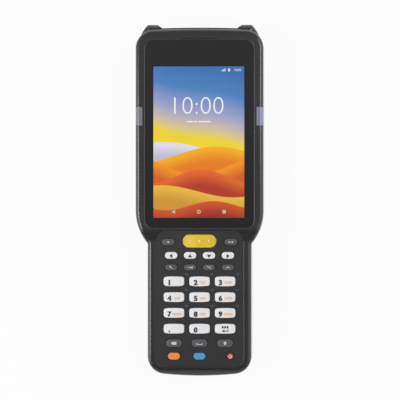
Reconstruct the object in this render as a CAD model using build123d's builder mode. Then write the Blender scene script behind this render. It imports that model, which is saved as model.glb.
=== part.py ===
from build123d import *
from math import atan, degrees, radians, sin, sqrt, tan
import os

# Handheld computer lying on its back, in millimetres.
# X runs across the body, Y towards the scanning end, Z out of the screen.

# Driving sizes: the display sets the head, the grip sets the keypad and the battery
lcd_size = (55.0, 94.0)
grip_width = 61.2

# Plan of the body
glass_side = 3.5
glass_above_lcd = 10.8
glass_below_lcd = 2.75
head_side = 6.55
head_corner = 11.3
bottom_corner = 11.0
flare_radius = 30.0
flare_rise = 9.8
waist_round = 2.0
shoulder_gap = 2.0
top_bow = 500.0
bottom_bow = 200.0

# Lengths along the body, from the horns down to the bottom end
horn_reach = 2.0
brow_length = 8.35
top_lip = 0.6
waist_gap = 1.4
panel_top_margin = 2.45
panel_bottom_margin = 3.8
chin_length = 6.45

# Key widths: margins and gaps across the panel, and shares of the panel or of a number key
number_key_side = 4.4
number_key_gap = 2.9
four_key_side = 5.1
four_key_gap = 3.66
scan_key_share = 0.394
side_key_share = 0.148
side_key_station = 0.36
function_key_share = 0.97
wide_key_share = 0.78
shift_key_share = 0.585
power_key_station = 1.2
scan_nub_share = 0.27

# Key heights, row gaps and caps
scan_key_height = 7.6
side_key_height = 3.8
side_key_drop = 0.5
arrow_key_height = 3.9
function_key_height = 3.6
number_key_height = 5.7
number_key_bulge = 0.35
number_key_corner = 1.4
wide_key_height = 4.6
shift_key_height = 4.0
power_key_diameter = 4.0
scan_row_gap = 2.45
row_gap = 3.15
number_row_gap = 3.37
key_proud = 1.15
key_crown = 30.0
key_edge = 0.5
key_flange = 0.8
key_flange_reach = 0.5
key_gap = 0.2
scan_nub_count = 3
scan_nub_radius = 0.9
scan_nub_height = 0.25

# Thicknesses through the grip, from the back to the front
battery_depth = 12.2
bay_step = 2.0
bay_floor = 1.6
board_post = 4.2
board_plate = 1.2
shield_height = 2.4
shield_room = 1.0
frame_plate = 1.4
keypad_board_plate = 1.2
dome_height = 0.45
dome_gap = 0.05
mat_nub = 0.3
mat_web = 0.6
mat_pad = 0.8
panel_flange = 1.2
panel_plate = 1.6
panel_recess = 0.2
grip_drop = 1.2

# Shells
wall = 1.8
parting = 17.0
front_draft = 3.0
rear_draft = 5.0
front_round = 2.0
rear_round = 5.0
drop_run = 7.0
brow_roll = 12.0
brow_sweep = 65.0
chin_roll = 14.0
chin_sweep = 50.0
crown_roll = 20.0
crown_sweep = 65.0
heel_roll = 16.0
heel_sweep = 75.0
roll_start = 1.0
saddle_depth = 3.2
saddle_run = 14.0
hump_length = 31.0
head_wall = 3.2
end_wall = 2.0
fit = 0.2

# Screen
glass_corner = 4.6
glass_recess = 0.4
glass_plate = 1.4
glass_gap = 0.1
rim_chamfer = 0.5
rim_slope = 45.0
gasket_plate = 0.3
ledge = 2.2
lcd_thickness = 3.2
receiver_size = (21.0, 1.2)
receiver_rise = 0.6
receiver_depth = 0.8

# Keypad panel
panel_side = 5.6
panel_corner = 5.0
panel_gap = 0.1
panel_flange_reach = 1.3
mat_reach = 0.6
mat_rim = 1.0
mat_nub_radius = 1.0
dome_radius = 1.7
dome_slope = 45.0

# Scanning end
bumper_side = 3.35
bumper_height = 20.5
bumper_low = 5.0
bumper_corner = 5.5
bumper_roll = 3.5
bumper_base = 8.7
bumper_bow = 0.4
horn_side = 4.3
horn_tip = 5.2
horn_slope = 3.0
horn_step = 5.4
horn_round = 1.4
window_side = 12.4
window_height = 11.6
window_corner = 2.0
window_plate = 1.6
window_recess = 1.0
window_ledge = 1.4
window_gap = 0.15
engine_size = (22.0, 16.0, 11.1)
engine_setback = 1.4
lens_radius = 3.0
aimer_radius = 1.8
lens_length = 0.9
lens_offset = 5.5
bracket_plate = 1.2
bracket_flange = 3.0
bracket_length = 10.0

# Status lights
pipe_length = 10.7
pipe_below_glass_top = 43.5
pipe_inset = 4.75
pipe_height = 8.4
pipe_gap = 0.15
led_size = (2.2, 3.0, 0.9)

# Battery pack
battery_length = 92.75
battery_chin = 13.0
battery_neck_side = 1.7
battery_gap = 0.25
battery_wall = 1.8
plug_side = 4.3
plug_inset = 3.0
cell_gap = 0.6
cell_count = 2

# Battery release
latch_length = 15.0
latch_height = 4.4
latch_proud = 0.5
latch_flange = 0.8
latch_flange_reach = 0.6
latch_travel = 1.2
latch_below_shoulder = 13.0
latch_level = 6.2
latch_lip = 0.9
latch_gap = 0.2
latch_touch = 0.05
latch_rib_count = 5
latch_rib = 0.9
latch_rib_height = 0.35
spring_plate = 0.4
spring_width = 7.0
hook_reach = 0.7
hook_height = 0.6
hook_lip = 0.8
hook_room = 0.2

# Boards, contacts and small parts
board_margin = 2.0
board_gap = 0.6
board_chin = 16.0
standoff_radius = 2.0
standoff_side = 6.8
standoff_spread = 25.0
can_side = 4.0
can_length = 30.0
can_wall = 0.4
can_pitch = 44.0
can_count = 3
contact_block = (16.0, 5.0)
contact_count = 5
contact_pitch = 2.6
contact_radius = 0.6
contact_touch = 0.05
contact_from_plug_end = 7.0
speaker_size = (26.0, 14.0, 4.5)
speaker_slot_count = 3
speaker_slot_size = (16.0, 1.5)
speaker_slot_pitch = 3.6
motor_radius = 5.0
motor_height = 3.5
motor_x = 18.0
backup_radius = 6.0
backup_height = 3.2
backup_x = 8.0
dock_size = (22.0, 5.6, 6.0)
dock_level = 10.0
dock_recess = 1.2
dock_margin = 1.0
dock_contact_count = 8
dock_pitch = 2.4
dock_pad = (1.3, 3.4, 0.25)
frame_window = (24.0, 18.0)
frame_window_pitch = 24.0
frame_window_count = 3
frame_ear = 5.0

# Fasteners and seal
screw_radius = 1.25
screw_head_radius = 2.3
screw_head = 1.8
screw_socket = 1.1
screw_socket_depth = 1.1
screw_seat = 8.0
screw_bite = 5.6
screw_gap = 0.15
boss_wall = 1.4
boss_height = 6.8
screw_from_side = 6.05
screw_below_end = 8.2
screw_above_battery = 8.4
screw_chin_side = 8.1
screw_chin_y = 7.0
seal_width = 0.8
seal_depth = 0.8
seal_inset = 0.4

# Widths across the body
glass_width = lcd_size[0] + 2 * glass_side
glass_length = lcd_size[1] + glass_above_lcd + glass_below_lcd
head_width = glass_width + 2 * head_side
overhang = (head_width - grip_width) / 2
bumper_width = head_width - 2 * bumper_side
horn_outer = bumper_width / 2 - horn_side
horn_inner = horn_outer - horn_tip
horn_foot = horn_inner - horn_slope
window_size = (bumper_width - 2 * window_side, window_height)
sight_width = window_size[0] - 2 * window_ledge
sight_height = window_size[1] - 2 * window_ledge
pipe_x = head_width / 2 - pipe_inset
battery_neck_width = grip_width - 2 * battery_neck_side
plug_width = grip_width - 2 * plug_side
panel_width = grip_width - 2 * panel_side

# Sizes of the keys, from the panel's width
number_key_width = (panel_width - 2 * number_key_side - 2 * number_key_gap) / 3
number_pitch = number_key_width + number_key_gap
four_key_width = (panel_width - 2 * four_key_side - 3 * four_key_gap) / 4
four_pitch = four_key_width + four_key_gap
scan_key_size = (scan_key_share * panel_width, scan_key_height)
side_key_size = (side_key_share * panel_width, side_key_height)
side_key_x = side_key_station * panel_width
arrow_key_size = (four_key_width, arrow_key_height)
function_key_size = (function_key_share * four_key_width, function_key_height)
number_key_size = (number_key_width, number_key_height)
wide_key_size = (wide_key_share * number_key_width, wide_key_height)
shift_key_size = (shift_key_share * number_key_width, shift_key_height)
power_key_x = power_key_station * number_pitch
scan_nub_pitch = scan_nub_share * scan_key_size[0]

# Heights of the layers
bay_top = battery_depth + bay_step
floor_top = bay_top + bay_floor
board_low = floor_top + board_post
board_top = board_low + board_plate
frame_low = board_top + shield_height + shield_room
frame_top = frame_low + frame_plate
keypad_board_top = frame_top + keypad_board_plate
nub_low = keypad_board_top + dome_height + dome_gap
web_low = nub_low + mat_nub
web_top = web_low + mat_web
key_foot = web_top + mat_pad
panel_back = key_foot + key_flange
panel_seat = panel_back + panel_flange
panel_face = panel_seat + panel_plate
grip_front = panel_face + panel_recess
depth = grip_front + grip_drop
glass_back = depth - glass_recess - glass_plate
ledge_top = glass_back - gasket_plate
head_ceiling = ledge_top - wall
lcd_back = glass_back - lcd_thickness
head_frame_low = lcd_back - frame_plate
pocket_floor = saddle_depth + wall

# Stations along the length
keypad_rows = [scan_key_size, arrow_key_size, function_key_size]
keypad_rows += [number_key_size] * 4 + [wide_key_size, shift_key_size]
row_gaps = [scan_row_gap, row_gap] + [number_row_gap] * 4 + [row_gap] * 2
keys_length = sum(size[1] for size in keypad_rows) + sum(row_gaps)
panel_length = panel_top_margin + keys_length + panel_bottom_margin
length = horn_reach + brow_length + glass_length + waist_gap + panel_length + chin_length
horn_top = length / 2
bumper_face = horn_top - horn_reach
head_top = bumper_face - top_lip
glass_top = bumper_face - brow_length
glass_bottom = glass_top - glass_length
panel_top = glass_bottom - waist_gap
panel_bottom = panel_top - panel_length
bottom = panel_bottom - chin_length
glass_centre = (glass_top + glass_bottom) / 2
panel_centre = (panel_top + panel_bottom) / 2
flare_start = glass_bottom + flare_rise
flare_end = flare_start - sqrt(flare_radius**2 - (flare_radius - overhang) ** 2)
shoulder = flare_end - shoulder_gap
drop_start = glass_bottom - waist_gap / 2
drop_end = drop_start - drop_run
battery_bottom = bottom + battery_chin
battery_top = battery_bottom + battery_length
bumper_back = bumper_face - bumper_base
bumper_mid = bumper_low + bumper_height / 2
cavity_end = bumper_back - end_wall
hump_top = glass_top - roll_start
hump_foot = hump_top - hump_length
hump_centre = (hump_top + hump_foot) / 2
saddle_end = battery_top + saddle_run
saddle_centre = (hump_foot - saddle_run + saddle_end) / 2
pipe_centre = glass_top - pipe_below_glass_top
lcd_centre = glass_top - glass_above_lcd - lcd_size[1] / 2
engine_front = cavity_end - engine_setback
engine_back = engine_front - engine_size[1]
plug_top = battery_top - plug_inset
plug_bottom = battery_bottom + plug_inset
plug_centre = (plug_top + plug_bottom) / 2

# Screw places: two beside the head's top, two above the battery, two in the chin
screw_x = head_width / 2 - screw_from_side
screw_chin_x = grip_width / 2 - screw_chin_side
boss_radius = screw_head_radius + screw_gap + boss_wall
screw_rows = [cavity_end - screw_below_end, battery_top + screw_above_battery]
side_screws = [(side * screw_x, y) for y in screw_rows for side in (-1, 1)]
chin_screws = [(side * screw_chin_x, bottom + screw_chin_y) for side in (-1, 1)]
screw_points = side_screws + chin_screws

# Main board: narrow in the grip, between the screw bosses in the head; standoffs above and below it
grip_board_width = grip_width - 2 * (wall + board_margin)
head_board_width = 2 * (screw_x - boss_radius - board_gap)
grip_standoff_x = grip_board_width / 2 - standoff_side
head_standoff_x = head_board_width / 2 - standoff_side
can_width = 2 * (min(grip_standoff_x, head_standoff_x) - can_side)
spread = (-standoff_spread, standoff_spread)
grip_standoffs = [(side * grip_standoff_x, panel_centre + y) for side in (-1, 1) for y in spread]
head_standoffs = [(side * head_standoff_x, lcd_centre + y) for side in (-1, 1) for y in spread]

reach = 2 * length
on_floor = (Align.CENTER, Align.CENTER, Align.MIN)
below = (Align.CENTER, Align.CENTER, Align.MAX)

os.makedirs("parts", exist_ok=True)


def save(piece, name):
    """Label a finished piece and write it to its own file."""
    piece.part.label = name
    export_step(piece.part, f"parts/{name}.step")


def across(y):
    """Plane square to the length at station y; its normal points to the bottom end."""
    return Plane.XZ.offset(-y)


def ease(start, run, drop):
    """A level line heading towards -Y that eases down by drop over run, as two equal tangent arcs."""
    turn = 2 * atan(drop / run)
    bend = abs(run / 2 / sin(turn))
    first = JernArc(start, (-1, 0), bend, degrees(turn))
    JernArc(first @ 1, first % 1, bend, -degrees(turn))


# Plan outline: a wide head whose lower corners flare into the narrower grip
with BuildSketch() as head_plan:
    with Locations((0, (head_top + flare_start - flare_radius) / 2)):
        Rectangle(head_width, head_top - flare_start + flare_radius)
    with Locations((0, head_top - top_bow)):
        Circle(top_bow, mode=Mode.INTERSECT)
    fillet(head_plan.vertices().group_by(Axis.Y)[-1], head_corner)
    fillet(head_plan.vertices().group_by(Axis.Y)[0], flare_radius)

with BuildSketch() as grip_plan:
    with Locations((0, (bottom + flare_start) / 2)):
        Rectangle(grip_width, flare_start - bottom)
    with Locations((0, bottom + bottom_bow)):
        Circle(bottom_bow, mode=Mode.INTERSECT)
    fillet(grip_plan.vertices().group_by(Axis.Y)[0], bottom_corner)

with BuildSketch() as body_plan:
    add(grip_plan.sketch)
    add(head_plan.sketch)
    waist = body_plan.vertices().filter_by(lambda v: abs(abs(v.X) - grip_width / 2) < 0.01)
    fillet(waist.sort_by(Axis.Y)[-2:], waist_round)

# Plan of the inside, which stops at the wall behind the scanning end
with BuildSketch() as cavity_plan:
    add(body_plan.sketch)
    offset(amount=-wall)
    with Locations((0, cavity_end - reach / 2)):
        Rectangle(reach, reach, mode=Mode.INTERSECT)

with BuildSketch() as glass_plan:
    with Locations((0, glass_centre)):
        RectangleRounded(glass_width, glass_length, glass_corner)

with BuildSketch() as panel_plan:
    with Locations((0, panel_centre)):
        RectangleRounded(panel_width, panel_length, panel_corner)


def grown(plan, amount, height):
    """Sketch a plan outline, grown all round by amount, at a height."""
    with BuildSketch(Plane.XY.offset(height)) as outline:
        add(plan.sketch)
        if amount:
            offset(amount=amount)
    return outline.sketch


def drafted(inset, rise, draft):
    """Block over a rise from the parting plane, up or down: head and grip, inset, with sides that lean in."""
    up = 1 if rise > 0 else -1
    with BuildPart() as block:
        for plan in (head_plan, grip_plan):
            with BuildSketch(Plane((0, 0, parting), x_dir=(up, 0, 0), z_dir=(0, 0, up))):
                add(grown(plan, -inset, 0))
            extrude(amount=abs(rise), taper=draft)
        corners = block.edges().filter_by(lambda e: abs(e.center().Y - flare_end) < waist_round + inset)
        waist = corners.filter_by(lambda e: e.bounding_box().size.Z > abs(rise) / 2)
        fillet(waist, waist_round + inset)
    return block.part


def front_side(inset, head_level, grip_level):
    """Side view of the front: level head and grip joined by an eased step, both ends rolled off."""
    brow_start = glass_top + roll_start
    chin_start = panel_bottom + roll_start
    with BuildSketch(Plane.YZ) as side:
        with BuildLine():
            brow = JernArc((brow_start, head_level), (1, 0), brow_roll - inset, -brow_sweep)
            Line((brow_start, head_level), (drop_start, head_level))
            ease((drop_start, head_level), drop_run, head_level - grip_level)
            Line((drop_end, grip_level), (chin_start, grip_level))
            chin = JernArc((chin_start, grip_level), (-1, 0), chin_roll - inset, chin_sweep)
            Polyline(chin @ 1, ((chin @ 1).X, 0), ((brow @ 1).X, 0), brow @ 1)
        make_face()
    return side.sketch


# Outer form of the front half
with BuildPart() as front_block:
    add(drafted(0, depth - parting, front_draft))
    extrude(front_side(0, depth, grip_front), amount=head_width, both=True, mode=Mode.INTERSECT)
    rim = front_block.edges().filter_by(lambda e: e.bounding_box().min.Z > parting + 1)
    fillet(rim - rim.filter_by(Axis.X), front_round)

# Outer form of the rear half, with a saddle for the forefinger between battery and head
with BuildPart() as rear_block:
    add(drafted(0, -parting, rear_draft))
    heel_start = battery_bottom - roll_start
    with BuildSketch(Plane.YZ):
        with BuildLine():
            crown = JernArc((hump_top, 0), (1, 0), crown_roll, crown_sweep)
            Line((hump_top, 0), (hump_foot, 0))
            ease((hump_foot, 0), saddle_run, -saddle_depth)
            Line((hump_foot - saddle_run, saddle_depth), (saddle_end, saddle_depth))
            ease((saddle_end, saddle_depth), saddle_run, saddle_depth)
            Line((battery_top, 0), (heel_start, 0))
            heel = JernArc((heel_start, 0), (-1, 0), heel_roll, -heel_sweep)
            Polyline(heel @ 1, ((heel @ 1).X, depth), ((crown @ 1).X, depth), crown @ 1)
        make_face()
    extrude(amount=head_width, both=True, mode=Mode.INTERSECT)
    rim = rear_block.edges().filter_by(lambda e: e.bounding_box().max.Z < parting - 1)
    fillet(rim - rim.filter_by(Axis.X), rear_round)


def boss_columns(radius, low, high):
    """Columns at the screw places, with webs to the nearest wall, added to the part being built."""
    middle = (low + high) / 2
    with Locations(*[(x, y, middle) for x, y in screw_points]):
        Cylinder(radius, high - low)
    webs = [(x + (screw_from_side if x > 0 else -screw_from_side) / 2, y, middle) for x, y in side_screws]
    with Locations(*webs):
        Box(screw_from_side, radius, high - low)
    with Locations(*[(x, y - screw_chin_y / 2, middle) for x, y in chin_screws]):
        Box(radius, screw_chin_y, high - low)


with BuildPart() as front_bosses:
    boss_columns(screw_radius + screw_gap + boss_wall, parting, parting + boss_height)
    add(front_block.part, mode=Mode.INTERSECT)

with BuildPart() as rear_bosses:
    boss_columns(boss_radius, pocket_floor - wall / 2, parting)
    add(rear_block.part, mode=Mode.INTERSECT)

# Space taken from both shells by the scanning end: its seat, and the sight hole behind it
with BuildPart() as scan_space:
    with BuildSketch(across(bumper_back)):
        with Locations((0, bumper_mid)):
            RectangleRounded(bumper_width + 2 * fit, bumper_height + 2 * fit, bumper_corner)
    extrude(amount=-reach)
    with BuildSketch(across(cavity_end)):
        with Locations((0, bumper_mid)):
            RectangleRounded(sight_width, sight_height, window_corner)
    extrude(amount=-2 * end_wall)

# Inside of the front half, following its outer side view one wall in
with BuildPart() as front_cavity:
    add(drafted(wall, depth - parting, front_draft))
    extrude(front_side(wall, head_ceiling, panel_seat), amount=head_width, both=True, mode=Mode.INTERSECT)
    split(bisect_by=across(cavity_end), keep=Keep.TOP)


def pipe_boxes(grow):
    """Boxes over the two status light places, grown on their hidden sides."""
    middle = pipe_x - grow + pipe_inset
    low = depth - pipe_height - grow
    with Locations((middle, pipe_centre, low), (-middle, pipe_centre, low)):
        Box(2 * pipe_inset, pipe_length + 2 * grow, pipe_height + 2 * grow, align=on_floor)


with BuildPart() as pipe_pockets:
    pipe_boxes(pipe_gap)

# Chamfered rim of the keypad opening, where the front of the grip is level
with BuildPart() as panel_rim:
    extrude(grown(panel_plan, panel_gap + rim_chamfer, grip_front), amount=-rim_chamfer, taper=rim_slope)
    split(bisect_by=across(drop_end), keep=Keep.TOP)

# Front shell
with BuildPart() as front_housing:
    add(front_block.part)
    add(front_cavity.part, mode=Mode.SUBTRACT)
    # glass recess with a chamfered rim, and the screen opening inside its ledge
    extrude(grown(glass_plan, glass_gap, ledge_top), amount=depth, mode=Mode.SUBTRACT)
    chamfer_plan = grown(glass_plan, glass_gap + rim_chamfer, depth)
    extrude(chamfer_plan, amount=-rim_chamfer, taper=rim_slope, mode=Mode.SUBTRACT)
    extrude(grown(glass_plan, -ledge, parting), amount=depth, mode=Mode.SUBTRACT)
    # shallow slot of the earpiece in the brow
    with BuildSketch(Plane.XY.offset(depth)):
        with Locations((0, glass_top + receiver_rise)):
            SlotOverall(*receiver_size)
    extrude(amount=-receiver_depth, mode=Mode.SUBTRACT)
    # keypad opening, and the pocket for the flange of its panel
    extrude(grown(panel_plan, panel_gap, panel_seat), amount=depth, mode=Mode.SUBTRACT)
    add(panel_rim.part, mode=Mode.SUBTRACT)
    stack_room = panel_seat - frame_low + fit
    extrude(grown(panel_plan, panel_flange_reach + fit, panel_seat), amount=-stack_room, mode=Mode.SUBTRACT)
    add(front_bosses.part)
    # pads that the frame's ears are held against
    with Locations(*[(x, y, lcd_back) for x, y in side_screws]):
        Cylinder(standoff_radius, head_ceiling - lcd_back + wall / 2, align=on_floor)
    add(scan_space.part, mode=Mode.SUBTRACT)
    add(pipe_pockets.part, mode=Mode.SUBTRACT)
    with Locations(*[(x, y, parting) for x, y in screw_points]):
        Cylinder(screw_radius + screw_gap, 2 * (screw_bite + fit), mode=Mode.SUBTRACT)
save(front_housing, "front_housing")


def bay_boxes(gap, top):
    """Room of the battery pack below top: full grip width, with a narrower neck between the shoulders."""
    with Locations((0, battery_bottom + gap, 0)):
        body_length = shoulder - battery_bottom - 2 * gap
        Box(reach, body_length, 2 * top, align=(Align.CENTER, Align.MIN, Align.CENTER))
        neck_length = battery_length - 2 * gap
        Box(battery_neck_width - 2 * gap, neck_length, 2 * top, align=(Align.CENTER, Align.MIN, Align.CENTER))


# Release latch stations, on the +X side; the other side mirrors them
latch_y = shoulder - latch_below_shoulder
flank_x = grip_width / 2 - (parting - latch_level) * tan(radians(rear_draft))
lip_x = flank_x - latch_lip
flange_x = lip_x - latch_touch
spring_out = flange_x - latch_flange - latch_touch
spring_in = spring_out - spring_plate
chamber_x = spring_in - latch_travel - latch_gap
chamber_low = latch_level - latch_height / 2 - latch_flange_reach - latch_gap
chamber_high = latch_level + latch_height / 2 + latch_flange_reach + latch_gap
hook_low = battery_depth + hook_lip + hook_room
hook_high = hook_low + hook_height
along = (Align.MIN, Align.CENTER, Align.MIN)

# Undercut pocket in the rear shell that the spring's hook snaps into
with BuildPart() as catch_pocket:
    with Locations((chamber_x, latch_y, battery_depth)):
        Box(spring_out + latch_gap - chamber_x, spring_width + 2 * fit, hook_lip, align=along)
    with Locations((chamber_x, latch_y, battery_depth + hook_lip)):
        hook_space = spring_out + hook_reach + hook_room - chamber_x
        Box(hook_space, spring_width + 2 * fit, hook_height + 2 * hook_room, align=along)
    mirror(about=Plane.YZ)

# Deep space in the rear of the head, between the battery bay and the scanning end
with BuildPart() as head_pocket:
    add(drafted(head_wall, pocket_floor - parting, rear_draft))
    split(bisect_by=across(cavity_end), keep=Keep.TOP)
    split(bisect_by=across(battery_top + wall), keep=Keep.BOTTOM)

# Rear shell
with BuildPart() as rear_housing:
    add(rear_block.part)
    # shallow space over the battery floor, deep pocket in the head, well for the loudspeaker
    with BuildSketch(Plane.XY.offset(floor_top)):
        add(cavity_plan.sketch)
    extrude(amount=parting - floor_top, mode=Mode.SUBTRACT)
    add(head_pocket.part, mode=Mode.SUBTRACT)
    add(rear_bosses.part)
    with Locations((0, hump_centre, wall)):
        well_size = (speaker_size[0] + 2 * fit, speaker_size[1] + 2 * fit)
        Box(*well_size, pocket_floor, align=on_floor, mode=Mode.SUBTRACT)
    with Locations((0, hump_centre, wall)):
        with GridLocations(0, speaker_slot_pitch, 1, speaker_slot_count):
            Box(speaker_slot_size[0], speaker_slot_size[1], 2 * wall, mode=Mode.SUBTRACT)
    # posts under the main board
    with Locations(*[(x, y, floor_top) for x, y in grip_standoffs]):
        Cylinder(standoff_radius, board_post, align=on_floor)
with BuildPart() as bay:
    bay_boxes(0, battery_depth)
    with Locations((0, plug_centre, battery_depth)):
        Box(plug_width, plug_top - plug_bottom, bay_step, align=on_floor)
with BuildPart() as rear_shell:
    add(rear_housing.part)
    add(bay.part, mode=Mode.SUBTRACT)
    add(catch_pocket.part, mode=Mode.SUBTRACT)
    add(scan_space.part, mode=Mode.SUBTRACT)
    # passage of the battery contacts
    with Locations((0, plug_top - contact_from_plug_end, bay_top)):
        Box(contact_block[0] + 2 * fit, contact_block[1] + 2 * fit, 2 * bay_floor + fit, mode=Mode.SUBTRACT)
    # docking connector's recess and seat in the bottom end
    with BuildSketch(across(bottom + dock_recess)):
        with Locations((0, dock_level)):
            RectangleRounded(dock_size[0] + 2 * dock_margin, dock_size[1] + 2 * dock_margin, 2 * dock_margin)
    extrude(amount=reach, mode=Mode.SUBTRACT)
    with Locations((0, bottom + dock_recess, dock_level)):
        Box(dock_size[0] + 2 * fit, 2 * dock_size[2], dock_size[1] + 2 * fit, mode=Mode.SUBTRACT)
    # screw holes with deep counterbores, and the groove of the seal
    with Locations(*[(x, y, screw_seat) for x, y in screw_points]):
        Cylinder(screw_head_radius + screw_gap, reach, align=below, mode=Mode.SUBTRACT)
        Cylinder(screw_radius + screw_gap, reach, align=on_floor, mode=Mode.SUBTRACT)
    with BuildSketch(Plane.XY.offset(parting)) as seal_plan:
        add(cavity_plan.sketch)
        offset(amount=seal_inset + seal_width)
        add(grown(cavity_plan, seal_inset, 0), mode=Mode.SUBTRACT)
    extrude(amount=-seal_depth, mode=Mode.SUBTRACT)
save(rear_shell, "rear_housing")

with BuildPart() as housing_seal:
    with BuildSketch(Plane.XY.offset(parting)):
        add(grown(cavity_plan, seal_inset + seal_width, 0))
        add(grown(cavity_plan, seal_inset, 0), mode=Mode.SUBTRACT)
    extrude(amount=-seal_depth)
save(housing_seal, "housing_seal")

with BuildPart() as housing_screws:
    with Locations(*[(x, y, screw_seat) for x, y in screw_points]):
        Cylinder(screw_head_radius, screw_head, align=below)
        Cylinder(screw_radius, parting - screw_seat + screw_bite, align=on_floor)
    with BuildSketch(Plane.XY.offset(screw_seat - screw_head)):
        with Locations(*screw_points):
            RegularPolygon(screw_socket, 6)
    extrude(amount=screw_socket_depth, mode=Mode.SUBTRACT)
save(housing_screws, "housing_screws")

# End cap of the head, with two horns that stand proud of the scan window
with BuildPart() as head_bumper:
    with BuildSketch(across(bumper_back)):
        with Locations((0, bumper_mid)):
            RectangleRounded(bumper_width, bumper_height, bumper_corner)
    extrude(amount=-(bumper_base + horn_reach))
    with BuildSketch(Plane.XY.offset(bumper_low)) as horn_plan:
        with BuildLine():
            low_face = bumper_face - bumper_bow
            edge = bumper_width / 2
            ThreePointArc((-horn_foot, low_face), (0, bumper_face), (horn_foot, low_face))
            for side in (-1, 1):
                Polyline(
                    (side * horn_foot, low_face),
                    (side * horn_inner, horn_top),
                    (side * horn_outer, horn_top),
                    (side * edge, horn_top - horn_step),
                    (side * edge, bumper_back),
                )
            Line((-edge, bumper_back), (edge, bumper_back))
        make_face()
        fillet(horn_plan.vertices().filter_by(lambda v: v.Y > bumper_back + 1), horn_round)
    extrude(amount=bumper_height, mode=Mode.INTERSECT)
    with BuildSketch(Plane.YZ) as bumper_view:
        with Locations((horn_top, bumper_mid)):
            Rectangle(bumper_base + horn_reach, bumper_height, align=(Align.MAX, Align.CENTER))
        fillet(bumper_view.vertices().group_by(Axis.X)[-1], bumper_roll)
    extrude(amount=bumper_width, both=True, mode=Mode.INTERSECT)
    seat_y = bumper_face - window_recess - window_plate
    with BuildSketch(across(seat_y)):
        with Locations((0, bumper_mid)):
            RectangleRounded(window_size[0] + 2 * window_gap, window_size[1] + 2 * window_gap, window_corner)
    extrude(amount=-reach, mode=Mode.SUBTRACT)
    with BuildSketch(across(bumper_back)):
        with Locations((0, bumper_mid)):
            RectangleRounded(sight_width, sight_height, window_corner)
    extrude(amount=-reach, mode=Mode.SUBTRACT)
save(head_bumper, "head_bumper")

with BuildPart() as scan_window:
    with BuildSketch(across(seat_y)):
        with Locations((0, bumper_mid)):
            RectangleRounded(window_size[0], window_size[1], window_corner)
    extrude(amount=-window_plate)
save(scan_window, "scan_window")

# Scan engine with its camera and aimer barrels
engine_top = bumper_mid + engine_size[2] / 2
with BuildPart() as scan_engine:
    with Locations((0, (engine_front + engine_back) / 2, bumper_mid)):
        Box(*engine_size)
    with BuildSketch(across(engine_front)):
        with Locations((-lens_offset, bumper_mid)):
            Circle(lens_radius)
        with Locations((lens_offset, bumper_mid)):
            Circle(aimer_radius)
    extrude(amount=-lens_length)
save(scan_engine, "scan_engine")

# Bracket: a channel that hangs from the frame and holds the engine by its top
with BuildPart() as engine_bracket:
    with BuildSketch(across(engine_back + bracket_length)):
        leg_x = engine_size[0] / 2 + bracket_plate / 2
        leg_height = head_frame_low - engine_top
        with Locations((0, engine_top)):
            Rectangle(2 * leg_x, bracket_plate, align=(Align.CENTER, Align.MIN))
        with Locations((-leg_x, engine_top), (leg_x, engine_top)):
            Rectangle(bracket_plate, leg_height, align=(Align.CENTER, Align.MIN))
        flange_middle = leg_x + bracket_flange / 2
        with Locations((-flange_middle, head_frame_low), (flange_middle, head_frame_low)):
            Rectangle(bracket_flange, bracket_plate, align=(Align.CENTER, Align.MAX))
    extrude(amount=bracket_length)
save(engine_bracket, "engine_bracket")

# Screen: glass, the gasket on its ledge, and the display below
with BuildPart() as touch_glass:
    with BuildSketch(Plane.XY.offset(glass_back)):
        add(glass_plan.sketch)
    extrude(amount=glass_plate)
save(touch_glass, "touch_glass")

with BuildPart() as display_gasket:
    with BuildSketch(Plane.XY.offset(ledge_top)):
        add(glass_plan.sketch)
        add(grown(glass_plan, -ledge, 0), mode=Mode.SUBTRACT)
    extrude(amount=gasket_plate)
save(display_gasket, "display_gasket")

with BuildPart() as lcd_module:
    with Locations((0, lcd_centre, lcd_back)):
        Box(lcd_size[0], lcd_size[1], lcd_thickness, align=on_floor)
save(lcd_module, "lcd_module")

# Metal frame: a plate under the display and a lower one under the keypad, joined by a bend
frame_bend = (panel_top + panel_flange_reach + lcd_centre - lcd_size[1] / 2) / 2
frame_end = lcd_centre + lcd_size[1] / 2 + board_margin
frame_foot = panel_bottom + 2 * board_margin
with BuildPart() as chassis_frame:
    with BuildSketch(Plane.YZ):
        with Locations((frame_bend, lcd_back)):
            Rectangle(frame_end - frame_bend, frame_plate, align=(Align.MIN, Align.MAX))
        with Locations((frame_bend, frame_low)):
            Rectangle(frame_plate, lcd_back - frame_low, align=(Align.MIN, Align.MIN))
        with Locations((frame_foot, frame_low)):
            Rectangle(frame_bend + frame_plate - frame_foot, frame_plate, align=(Align.MIN, Align.MIN))
    extrude(amount=panel_width / 2 - board_margin, both=True)
    with BuildSketch(Plane.XY.offset(lcd_back)):
        with Locations((0, frame_end)):
            Rectangle(lcd_size[0], frame_end - frame_bend, align=(Align.CENTER, Align.MAX))
        with Locations(*[(0, y) for y in screw_rows]):
            Rectangle(2 * screw_x + frame_ear, frame_ear)
        with Locations((0, pipe_centre)):
            Rectangle(2 * (pipe_x - pipe_gap) - frame_ear, frame_ear)
    extrude(amount=-frame_plate)
    with Locations((0, lcd_centre, lcd_back)):
        with GridLocations(0, frame_window_pitch, 1, frame_window_count):
            Box(frame_window[0], frame_window[1], 3 * frame_plate, mode=Mode.SUBTRACT)
    with Locations(*[(x, y, head_frame_low) for x, y in head_standoffs]):
        Cylinder(standoff_radius, head_frame_low - board_top, align=below)
    with Locations(*[(x, y, frame_low) for x, y in grip_standoffs]):
        Cylinder(standoff_radius, frame_low - board_top, align=below)
save(chassis_frame, "chassis_frame")

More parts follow.
